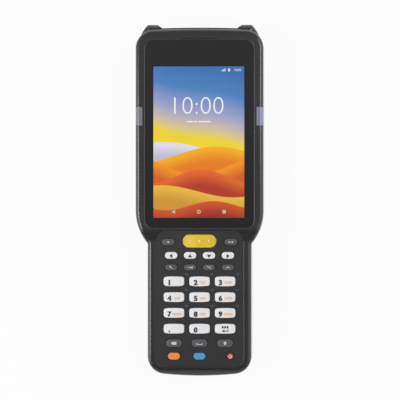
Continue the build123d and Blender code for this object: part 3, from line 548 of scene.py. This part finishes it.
def numeral(text, height, centre, boldness):
    """Digits from the built-in font, filled, scaled to a height and set about a centre."""
    curve = bpy.data.curves.new("numeral", "FONT")
    curve.body = text
    curve.offset = boldness
    curve.resolution_u = 6
    holder = bpy.data.objects.new("numeral", curve)
    bpy.context.scene.collection.objects.link(holder)
    shape = bpy.data.meshes.new_from_object(holder.evaluated_get(bpy.context.evaluated_depsgraph_get()))
    points = np.empty(len(shape.vertices) * 3)
    shape.vertices.foreach_get("co", points)
    points = points.reshape(-1, 3)[:, :2]
    faces = [tuple(face.vertices) for face in shape.polygons]
    bpy.data.objects.remove(holder)
    bpy.data.meshes.remove(shape)
    low_corner, high_corner = points.min(0), points.max(0)
    points = (points - (low_corner + high_corner) / 2) * height / (high_corner - low_corner)[1]
    return points + np.array(centre), faces


def ink(name, color):
    """Printed ink, a little uneven in cover; also the paint of a painted highlight."""
    return moulded(name, color, 0.45, grain=0.12, depth=0.002, mottle=0.05)


def lay(name, body, marks, level, slot, smooth=False):
    """Lay flat marks on a surface of height level(x, y); a mark is its points and faces, with an ink."""
    points, faces, inks, cover = [], [], [], []
    count = 0
    for (flat, quads), finish in marks:
        points.append(flat)
        faces += [tuple(int(corner) + count for corner in quad) for quad in quads]
        if finish not in inks:
            inks.append(finish)
        cover += [inks.index(finish)] * len(quads)
        count += len(flat)
    flat = np.concatenate(points)
    height = level(flat[:, 0], flat[:, 1]) + INK_LIFT
    piece_of(name, np.column_stack([flat, height]), faces, body, slot, inks, cover, smooth)


def flat_at(height):
    """A level surface at a height, in the form that lay takes."""
    return lambda x, y: height + 0 * x


def key_marks(key, marks, slot):
    """Print marks, given about the key's own middle, on its crowned top."""
    x0, y0, top = middle(key, 0), middle(key, 1), high(key, 2)
    moved = [((points + np.array([x0, y0]), faces), finish) for (points, faces), finish in marks]

    def crown(x, y):
        return top - KEY_CROWN + np.sqrt(KEY_CROWN**2 - (x - x0) ** 2)

    lay(f"print_{key}", key, moved, crown, slot)


dark_ink = ink("dark_ink", tint(38, 38, 42))
orange_ink = ink("orange_ink", tint(236, 180, 134))
pale_ink = ink("pale_ink", tint(200, 201, 206))
white_ink = ink("white_ink", tint(238, 238, 240))
panel_ink = ink("panel_ink", tint(88, 94, 102))

# Number keys: a digit, with small bars beside it on most of them
DIGIT_HEIGHT = 3.1
DIGIT_BOLDNESS = 0.04
DIGIT_SPREAD = 0.13
DIGIT_Y = -0.65
# digit's place across its key, for the left, middle and right columns
DIGIT_X = (-2.6, -2.2, -2.7)
BAR_HEIGHT = 1.4
BAR_SHARE = 0.76
# bars of a key: how many, their middle and their width over all
SIDE_BARS = {
    2: (3, 1.8, 2.9),
    3: (4, 1.8, 4.3),
    4: (3, 1.9, 3.3),
    5: (3, 2.0, 3.5),
    6: (4, 1.9, 4.6),
    7: (5, 1.7, 5.3),
    8: (3, 1.8, 2.9),
    9: (5, 1.8, 5.0),
}
for digit in range(10):
    marks = []
    column = (digit - 1) % 3 if digit else 1
    for shift in (-DIGIT_SPREAD, DIGIT_SPREAD):
        centre = (DIGIT_X[column] + shift, DIGIT_Y)
        marks.append((numeral(str(digit), DIGIT_HEIGHT, centre, DIGIT_BOLDNESS), dark_ink))
    if digit in SIDE_BARS:
        count, centre, width = SIDE_BARS[digit]
        pitch = width / count
        for place in range(count):
            x = centre + (place - (count - 1) / 2) * pitch
            foot, head = (x, DIGIT_Y - BAR_HEIGHT / 2), (x, DIGIT_Y + BAR_HEIGHT / 2)
            marks.append((strip(foot, head, pitch * BAR_SHARE, steps=3), orange_ink))
    key_marks(f"number_key_{digit}", marks, "key_white")
key_marks("point_key", [(ring((-2.7, -1.55), 0.5), dark_ink)], "key_white")

# Enter key: three bars over a bent arrow
enter_marks = [(strip((x, 0.2), (x, 1.55), 0.98, steps=3), dark_ink) for x in (-1.4, 0.0, 1.4)]
key_marks("enter_key", enter_marks + [
    (strip((1.7, -0.3), (1.7, -1.5), 0.5), dark_ink),
    (strip((1.7, -1.25), (-0.8, -1.25), 0.5), dark_ink),
    (strip((-0.4, -1.25), (-1.9, -1.25), 1.7, TIP), dark_ink),
], "key_white")

# Scan key: three nubs along its middle, painted paler than the key as a painted highlight; each is the cap of
# a ball
NUB_PITCH = 5.32
NUB_BALL = 0.9
NUB_RISE = 0.25
NUB_RIM = 0.66
# pale ink for the nubs: a painted highlight
nub_highlight_yellow = ink("nub_highlight_yellow", tint(246, 226, 112))
scan_x, scan_y = middle("scan_key", 0), middle("scan_key", 1)
# level of the crown, read from a key of the same height that has no nub
scan_top = high("space_key", 2)


def nub_height(x, y):
    """Height of the nubs: a ball sunk in the crowned key at each multiple of the pitch."""
    nub_x = np.round((x - scan_x) / NUB_PITCH) * NUB_PITCH
    crown = scan_top - KEY_CROWN + np.sqrt(KEY_CROWN**2 - nub_x**2)
    return crown + NUB_RISE - NUB_BALL + np.sqrt(NUB_BALL**2 - (x - scan_x - nub_x) ** 2 - (y - scan_y) ** 2)


# the pale ink laid on the nubs is a painted highlight
nubs = [(ring((scan_x + step * NUB_PITCH, scan_y), NUB_RIM, bands=8), nub_highlight_yellow) for step in (-1, 0, 1)]
lay("scan_key_nubs", "scan_key", nubs, nub_height, "key_yellow", smooth=True)

# Arrow keys: a solid triangle pointing the key's way
TRIANGLE = 1.05
for key, heading in zip(ARROW_KEYS, [(-1, 0), (0, 1), (0, -1), (1, 0)]):
    point = np.array(heading) * TRIANGLE
    offset = np.array([0.0, -0.35])
    triangle = strip(offset - point * 0.7, offset + point, 2.4 * TRIANGLE, TIP)
    key_marks(key, [(triangle, dark_ink)], "key_white")

# Grey keys: one plain sign each
function_signs = {
    "function_key_1": [strip((1.1, -0.7), (-0.5, 0.5), 0.32), strip((-0.2, 0.25), (-1.0, 0.85), 1.1, TIP)],
    "function_key_2": [strip((-1.4, 0.0), (0.7, 0.0), 0.32), strip((0.4, 0.0), (1.2, 0.0), 1.2, TIP),
                       strip((1.4, -0.7), (1.4, 0.7), 0.3)],
    "function_key_3": [strip((-1.4, 0.5), (-0.5, 0.5), 0.32), strip((-0.5, 0.5), (0.5, -0.5), 0.32),
                       strip((0.5, -0.5), (1.4, -0.5), 0.32), strip((0.6, 0.5), (1.4, 0.5), 0.32)],
    "function_key_4": [strip((-1.1, -0.5), (0.0, 0.5), 0.34), strip((1.1, -0.5), (0.0, 0.5), 0.34)],
    "side_key_left": [ring((0.0, 0.0), 0.5)],
    "side_key_right": [ring((-0.8, 0.0), 0.5), ring((0.8, 0.0), 0.5)],
    "backspace_key": [strip((-0.6, 0.0), (1.4, 0.0), 1.7), strip((-0.6, 0.0), (-1.7, 0.0), 1.7, TIP)],
    "space_key": [strip((-1.6, -0.7), (1.6, -0.7), 0.36), strip((-1.6, -0.6), (-1.6, 0.2), 0.36),
                  strip((1.6, -0.6), (1.6, 0.2), 0.36)],
    "shift_key": [strip((0.0, -1.0), (0.0, 0.1), 0.9), strip((0.0, 0.0), (0.0, 1.2), 2.4, TIP)],
}
for key, signs in function_signs.items():
    key_marks(key, [(sign, pale_ink) for sign in signs], "key_grey")
key_marks("power_key", [
    (ring((0.0, -0.1), 1.05, 0.7, 40.0, 280.0), white_ink),
    (strip((0.0, 0.1), (0.0, 1.15), 0.34), white_ink),
], "key_red")

# Small bars on the panel, up and right of the number keys
PANEL_FACE = high("keypad_panel", 2)
PANEL_BAR_OFFSET = (7.2, 4.1)
PANEL_BAR_HALF = 0.45
PANEL_BAR_WIDTH = 0.5
panel_marks = []
for digit in range(1, 10):
    x = middle(f"number_key_{digit}", 0) + PANEL_BAR_OFFSET[0]
    y = middle(f"number_key_{digit}", 1) + PANEL_BAR_OFFSET[1]
    for bar_x in (x - PANEL_BAR_HALF, x + PANEL_BAR_HALF):
        bar = strip((bar_x, y - PANEL_BAR_HALF), (bar_x, y + PANEL_BAR_HALF), PANEL_BAR_WIDTH, steps=3)
        panel_marks.append((bar, panel_ink))
lay("print_keypad_panel", HOUSING, panel_marks, flat_at(PANEL_FACE), "panel_plastic")

# Clock, status marks and foot marks on the lit screen, just above the display's face
SCREEN_FACE = high("lcd_module", 2)
PICTURE_RISE = 0.01


def lit_ink(name, first, second):
    """Lit mark on the display, whose colour drifts between two close tones."""
    finish = Finish(name, base_color=tint(20, 20, 20), roughness=0.4, emission_strength=1.0)
    finish.set("Emission Color", finish.blend(finish.noise(finish.place(), 6.0), first, second))
    return finish


light_ink = lit_ink("lit_white", tint(236, 238, 244), tint(250, 250, 252))
dim_ink = lit_ink("lit_dim", tint(206, 168, 142), tint(220, 182, 156))
screen_top = LIT_MIDDLE_Y + LIT_LENGTH / 2
screen_foot = LIT_MIDDLE_Y - LIT_LENGTH / 2
status_y = screen_top - 2.1
clock_y = screen_top - 22.5
date_y = screen_top - 31.8
foot_y = screen_foot + 3.5
CLOCK = "10:00"
CLOCK_HEIGHT = 9.6
SMALL_CLOCK_HEIGHT = 1.3
SMALL_CLOCK_X = 22.4
CELL_X = 17.4
SIGNAL_X = 13.4
STATUS_HALF = 0.8
DATE_BARS = ((-6.7, -3.4), (-2.6, -1.0), (-0.2, 6.7))
FOOT_X = 14.6
bright_marks = [
    numeral(CLOCK, CLOCK_HEIGHT, (0.0, clock_y), -0.02),
    numeral(CLOCK, SMALL_CLOCK_HEIGHT, (SMALL_CLOCK_X, status_y), 0.0),
    strip((CELL_X, status_y - STATUS_HALF), (CELL_X, status_y + STATUS_HALF), 1.0),
]
for left, right in DATE_BARS:
    bright_marks.append(strip((left, date_y), (right, date_y), 0.6))
for step in range(3):
    bar_x = SIGNAL_X + step * 0.8
    bar_top = status_y - 0.2 + step * 0.5
    bright_marks.append(strip((bar_x, status_y - STATUS_HALF), (bar_x, bar_top), 0.5, steps=3))
dim_marks = [
    strip((-FOOT_X + 1.0, foot_y), (-FOOT_X - 1.2, foot_y), 2.3, TIP),
    ring((0.0, foot_y), 1.15, 0.55),
    strip((FOOT_X - 1.0, foot_y), (FOOT_X + 1.0, foot_y), 2.0),
]
screen_offset = np.array([LIT_MIDDLE_X, 0.0])
lit_marks = []
for finish, group in ((light_ink, bright_marks), (dim_ink, dim_marks)):
    lit_marks += [((points + screen_offset, faces), finish) for points, faces in group]
picture_level = SCREEN_FACE + PICTURE_RISE
lay("print_screen", HOUSING, lit_marks, flat_at(picture_level), "display_stack")
picture = strip((LIT_MIDDLE_X, screen_foot), (LIT_MIDDLE_X, screen_top), LIT_WIDTH)
lay("lit_picture", HOUSING, [(picture, display)], flat_at(picture_level - INK_LIFT), "display_stack")

# Wire mesh in the earpiece slot, just above the glass
FRONT = high("front_housing", 2)
SLOT_Y = high("touch_glass", 1) + 0.6
SLOT_HALF_LENGTH = 10.4
SLOT_HALF_WIDTH = 0.55
MESH_LEVEL = FRONT - 0.7
WIRE_PITCH = 0.6
WIRE_SWELL = 0.06


def woven_strip():
    """Fine wire mesh in a slot with round ends: a grid whose height is the weave of two sine waves."""
    along = np.linspace(-1, 1, 161)[:, None]
    across = np.linspace(-1, 1, 15)[None, :]
    x = along * SLOT_HALF_LENGTH + 0 * across
    into_end = np.clip(np.abs(x) - SLOT_HALF_LENGTH + SLOT_HALF_WIDTH, 0, None)
    y = across * np.sqrt(np.clip(SLOT_HALF_WIDTH**2 - into_end**2, 0, None))
    weave = WIRE_SWELL * np.sin(2 * np.pi * x / WIRE_PITCH) * np.sin(2 * np.pi * y / WIRE_PITCH)
    points = np.stack([x, SLOT_Y + y, MESH_LEVEL + weave], axis=2).reshape(-1, 3)
    return points, grid_faces(*x.shape)[:, ::-1].tolist()


piece_of("receiver_mesh", *woven_strip(), HOUSING, "steel", [dark_steel])

# Lenses of the scan engine
ENGINE_Y = high("scan_engine", 1)
ENGINE_Z = middle("scan_engine", 2)
LENS_X = 5.5
LENS_RISE = 0.5
LENS_GAP = 0.02


def lens(middle_x, radius):
    """Domed lens facing the scanning end: rings of a shallow cap, turned about the length."""
    share = np.linspace(0, 1, 9)[:, None]
    angle = np.linspace(0, 2 * np.pi, 33)[None, :]
    x = middle_x + share * radius * np.cos(angle)
    z = ENGINE_Z + share * radius * np.sin(angle)
    y = ENGINE_Y + LENS_GAP + LENS_RISE * (1 - share**2) + 0 * angle
    points = np.stack([x, y, z], axis=2).reshape(-1, 3)
    return points, grid_faces(*x.shape).tolist()


optic = Finish("coated_lens", roughness=0.04, coat_weight=1.0)
sheen = optic.noise(optic.place(), 2.0)
optic.set("Base Color", optic.blend(sheen, tint(18, 14, 44), tint(40, 24, 60)))
for name, x, radius in (("camera_lens", -LENS_X, 2.5), ("aimer_lens", LENS_X, 1.4)):
    piece_of(name, *lens(x, radius), HOUSING, "window_plastic", [optic], smooth=True)

# Rounded edges of the two openings in the front shell
RIM_ROUND = 0.5
RIM_GAP = 0.1
RIM_LIFT = 0.01
GLASS_CORNER = 4.6
PANEL_CORNER = 5.0
PANEL_FLANGE = 1.3
PANEL_RECESS = 0.2
WAIST_GAP = 1.4
DROP_RUN = 7.0
# the grip's face is level from here to the foot, and the edge of the keypad's opening stops here
GRIP_LEVEL_Y = low("touch_glass", 1) - WAIST_GAP / 2 - DROP_RUN


def rim(centre, half, corner, level, stop=None):
    """Rounded edge of an opening: a quarter circle carried round a rectangle with round corners.

    With a stop, the path is open: it runs down the left side from there, along the foot and up to it again.
    """
    starts = np.array([0, 1, 2, 3] if stop is None else [2, 3]) * np.pi / 2
    angle = starts[:, None] + np.linspace(0, np.pi / 2, 9)
    sign_x, sign_y = np.sign(np.cos(starts + np.pi / 4)), np.sign(np.sin(starts + np.pi / 4))
    middle_x = (centre[0] + sign_x * (half[0] - corner))[:, None] + 0 * angle
    middle_y = (centre[1] + sign_y * (half[1] - corner))[:, None] + 0 * angle
    turn = np.linspace(0, np.pi / 2, 9)[:, None]
    offset = RIM_GAP + RIM_ROUND * (1 - np.sin(turn))
    x = middle_x.ravel() + (corner + offset) * np.cos(angle.ravel())
    y = middle_y.ravel() + (corner + offset) * np.sin(angle.ravel())
    if stop is None:
        x, y = np.hstack([x, x[:, :1]]), np.hstack([y, y[:, :1]])
    else:
        side, height = half[0] + offset, stop + 0 * offset
        x, y = np.hstack([centre[0] - side, x, centre[0] + side]), np.hstack([height, y, height])
    z = level + RIM_LIFT - RIM_ROUND * (1 - np.cos(turn)) + 0 * x
    return np.stack([x, y, z], axis=2).reshape(-1, 3), grid_faces(*x.shape).tolist()


def plan_of(node, margin=0.0):
    """Middle and half sizes of a node's box, seen from the front, less a margin."""
    centre = (middle(node, 0), middle(node, 1))
    return centre, (high(node, 0) - centre[0] - margin, high(node, 1) - centre[1] - margin)


glass_rim = rim(*plan_of("touch_glass"), GLASS_CORNER, FRONT)
piece_of("screen_opening_edge", *glass_rim, HOUSING, "shell_plastic", [edge], smooth=True)
panel_rim = rim(*plan_of("keypad_panel", PANEL_FLANGE), PANEL_CORNER, PANEL_FACE + PANEL_RECESS, GRIP_LEVEL_Y)
piece_of("keypad_opening_edge", *panel_rim, HOUSING, "shell_plastic", [edge], smooth=True)

# Leaf springs of the release buttons, built with close rows at the foot
HOOK_REACH = 0.7
HOOK_HEIGHT = 0.6
SPRING_PLATE = 0.4
BEND_HEIGHT = 0.2
SPRING_FOOT = low("latch_springs", 2)
SPRING_HEAD = high("latch_springs", 2)
SPRING_OUT = high("latch_springs", 0) - HOOK_REACH


def leaf(side):
    """Leaf spring: a rectangle carried up its height, widened by the hook, which slopes back to the head."""
    hook = SPRING_HEAD - HOOK_HEIGHT
    bend = SPRING_FOOT + np.linspace(0, BEND_HEIGHT, 5)
    level = np.concatenate([bend, [hook, hook, SPRING_HEAD]])
    reach = np.where(np.arange(len(level)) == len(level) - 2, HOOK_REACH, 0.0)
    inner = side * (SPRING_OUT - SPRING_PLATE) + 0 * reach
    outer = side * (SPRING_OUT + reach)
    near, far = np.minimum(inner, outer), np.maximum(inner, outer)
    front, rear = low("latch_springs", 1) + 0 * reach, high("latch_springs", 1) + 0 * reach
    x = np.stack([near, far, far, near, near], axis=1)
    y = np.stack([front, front, rear, rear, front], axis=1)
    points = np.stack([x, y, level[:, None] + 0 * x], axis=2).reshape(-1, 3)
    head = x.size - x.shape[1]
    caps = [[3, 2, 1, 0], [head, head + 1, head + 2, head + 3]]
    return points, grid_faces(*x.shape).tolist() + caps


for side, word in ((-1, "left"), (1, "right")):
    spring = piece_of(f"latch_spring_{word}", *leaf(side), None, "steel", [steel])
    foot = Vector((side * SPRING_OUT, middle("latch_springs", 1), SPRING_FOOT)) * MM
    bend_end = foot + Vector((0.0, 0.0, BEND_HEIGHT * MM))
    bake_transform(spring)
    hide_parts("latch_springs")

# Floor, lights and camera
FLOOR_HALF = 4.0
FLOOR_LEVEL = -0.0003
FLOOR_GLOW = 0.90
floor_mesh = bpy.data.meshes.new("floor")
corners = [(-1, -1), (1, -1), (1, 1), (-1, 1)]
floor_points = [(x * FLOOR_HALF, y * FLOOR_HALF, FLOOR_LEVEL) for x, y in corners]
floor_mesh.from_pydata(floor_points, [], [(0, 1, 2, 3)])
floor = bpy.data.objects.new("floor", floor_mesh)
bpy.context.scene.collection.objects.link(floor)
paper = Finish("white_paper_floor", roughness=0.9)
paper.set("Base Color", tint(246, 246, 247))
direct = paper.node("ShaderNodeLightPath", out="Is Camera Ray")
glossy = paper.node("ShaderNodeLightPath", out="Is Glossy Ray")
through = paper.node("ShaderNodeLightPath", out="Is Transmission Ray")
seen = direct.most(glossy).most(through)
white = paper.node("ShaderNodeEmission", {}, {"Color": (1.0, 1.0, 1.0, 1.0), "Strength": 1.0})
plain = Wire(paper, paper.shader.outputs[0])
bright = paper.node("ShaderNodeMixShader", {}, {0: seen * FLOOR_GLOW, 1: plain, 2: white})
under = paper.node("ShaderNodeNewGeometry", out="Backfacing")
clear = paper.node("ShaderNodeBsdfTransparent")
shown = paper.node("ShaderNodeMixShader", {}, {0: under, 1: bright, 2: clear})
paper.tree.links.new(shown.socket, paper.tree.nodes["Material Output"].inputs["Surface"])
floor_mesh.materials.append(paper.material)

# Pale studio walls that fall away to a dim ceiling, which is a little brighter towards the scanning end
CEILING = 0.11
CEILING_AHEAD = 0.24
AHEAD_EDGE = (-0.15, 0.15)
WALLS = 0.9
world = bpy.data.worlds.new("studio")
bpy.context.scene.world = world
world.use_nodes = True
studio = Graph(world.node_tree)
heading = studio.node("ShaderNodeTexCoord", out="Generated")
forward, upward = [studio.node("ShaderNodeSeparateXYZ", {}, {0: heading}, out=axis) for axis in (1, 2)]
lean = (1 - upward).least(1.0)
strength = lean * lean * (WALLS - CEILING) + forward.ramp(*AHEAD_EDGE) * CEILING_AHEAD + CEILING
background = world.node_tree.nodes["Background"]
studio.join(background.inputs["Color"], (1.0, 1.0, 1.0, 1.0))
studio.join(background.inputs["Strength"], strength)


def looking(place, target):
    """Placement at a place whose -Z axis looks at a target, turned so that +Y of the object is upward."""
    back = (Vector(place) - Vector(target)).normalized()
    side = Vector((0.0, 1.0, 0.0)).cross(back).normalized()
    turn = Matrix((side, back.cross(side), back)).transposed().to_4x4()
    return Matrix.Translation(place) @ turn


def softbox(name, place, size, radiance, target=(0.0, 0.0, 0.02)):
    """Rectangular area light aimed at a target; its face is as bright as radiance times white."""
    lamp = bpy.data.lights.new(name, "AREA")
    lamp.shape = "RECTANGLE"
    lamp.size, lamp.size_y = size
    lamp.energy = radiance * math.pi * size[0] * size[1]
    box = bpy.data.objects.new(name, lamp)
    bpy.context.scene.collection.objects.link(box)
    box.matrix_world = looking(place, target)


# Lamps: place, width and height in metres, brightness, and target where it isn't the middle
softbox("left_strip", (-0.41, -0.035, 0.93), (0.20, 0.30), 10.5, (0.0, -0.035, 0.02))
softbox("right_strip", (0.36, 0.22, 0.93), (0.20, 0.34), 7.5, (0.0, 0.22, 0.02))
softbox("left_box", (-0.55, -0.12, 0.42), (0.55, 0.50), 1.6, (0.0, -0.12, 0.02))
softbox("right_box", (0.55, 0.0, 0.42), (0.55, 0.60), 0.6)
softbox("grip_box", (0.36, -0.18, 0.90), (0.36, 0.34), 0.75, (0.0, -0.18, 0.02))
softbox("chin_box", (0.0, -0.60, 0.42), (0.50, 0.40), 0.6)
softbox("brow_box", (0.0, 0.65, 0.16), (0.50, 0.10), 0.9)

# Camera, in metres: straight in front of the screen, a little to the right
VIEW_YAW = math.radians(0.8)
VIEW_X = 0.00029
VIEW_DISTANCE = 0.86
VIEW_WIDTH = 0.2295
SENSOR = 36.0
target = Vector((VIEW_X, 0.0, cad_box[1].z))
back = Vector((math.sin(VIEW_YAW), 0.0, math.cos(VIEW_YAW)))
lens_data = bpy.data.cameras.new("photo_camera")
lens_data.sensor_width = SENSOR
lens_data.lens = SENSOR * VIEW_DISTANCE / VIEW_WIDTH
lens_data.clip_start = 0.01
camera = bpy.data.objects.new("photo_camera", lens_data)
bpy.context.scene.collection.objects.link(camera)
camera.matrix_world = looking(target + back * VIEW_DISTANCE, target)
bpy.context.scene.camera = camera
bpy.context.scene.view_settings.view_transform = "Standard"
